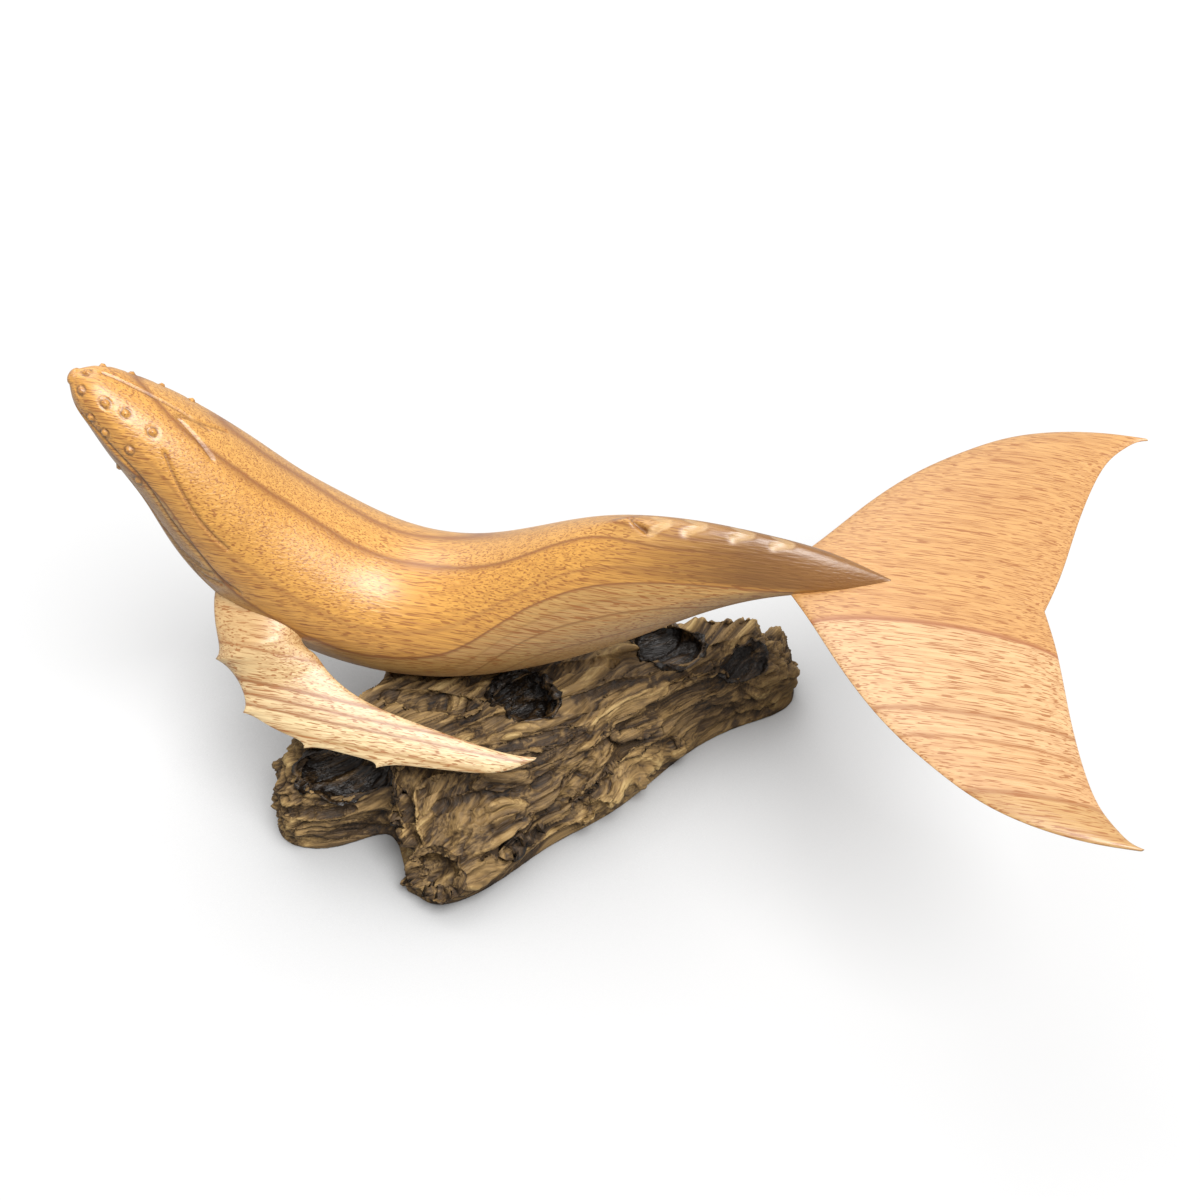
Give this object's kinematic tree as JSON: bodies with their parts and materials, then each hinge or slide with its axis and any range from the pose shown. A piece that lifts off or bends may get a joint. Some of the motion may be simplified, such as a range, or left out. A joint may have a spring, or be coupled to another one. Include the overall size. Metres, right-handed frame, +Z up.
{
  "type": "carved whale ornament",
  "caption": "Hand-carved wooden humpback whale with knobbed jaws, long fins and a wide fluke, standing on pegs in a gnarled driftwood base; a free-standing ornament.",
  "frame": {"origin": "on the flat underside of the driftwood, in the whale's plane of symmetry, below the belly", "axes": "+X from the snout to the tail, +Y to the whale's right side, +Z up"},
  "size_m": [0.393, 0.1946, 0.178],
  "materials": {
    "carved_hardwood": "satin varnish over hand-carved golden hardwood",
    "dowel_wood": "plain turned dowel, glued",
    "driftwood": "weathered gnarled root wood, thin sealer",
    "peg_wood": "plain turned peg"
  },
  "bodies": {
    "base": {"driftwood_base": "driftwood", "front_support_peg": "peg_wood", "rear_support_peg": "peg_wood"},
    "whale": {"whale_body": "carved_hardwood", "tail_fluke": "carved_hardwood", "left_pectoral_fin": "carved_hardwood", "right_pectoral_fin": "carved_hardwood", "left_fin_front_dowel": "dowel_wood", "left_fin_rear_dowel": "dowel_wood", "right_fin_front_dowel": "dowel_wood", "right_fin_rear_dowel": "dowel_wood", "tail_dowel": "dowel_wood"}
  },
  "joints": [
    {"name": "whale_lift", "type": "slide", "parent": "base", "child": "whale", "axis": [0, 0, 1], "range_m": [0, 0.06]}
  ]
}
